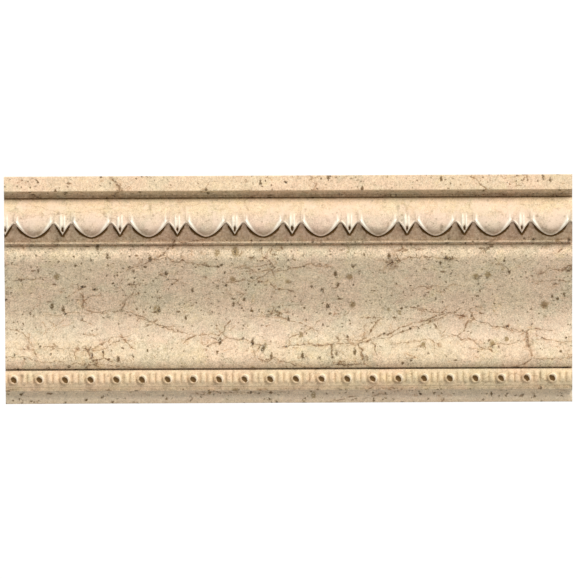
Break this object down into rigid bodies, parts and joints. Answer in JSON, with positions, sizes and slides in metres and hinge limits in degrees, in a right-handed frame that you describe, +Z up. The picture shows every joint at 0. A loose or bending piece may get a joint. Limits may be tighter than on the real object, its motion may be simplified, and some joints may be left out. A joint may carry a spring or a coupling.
{
  "type": "ceiling cornice moulding",
  "caption": "Straight length of ceiling cornice with an egg-and-dart ovolo, a plain cove and a bead-and-reel strip, cut square at both ends.",
  "frame": {"origin": "middle of the flat wall face at the back", "axes": "+X along the length, +Y into the wall, +Z up towards the ceiling; the moulding stands out towards -Y"},
  "size_m": [0.284, 0.0483, 0.1138],
  "materials": {
    "stone_finish": "satin"
  },
  "bodies": {
    "root": {"cornice": "stone_finish"}
  },
  "joints": []
}
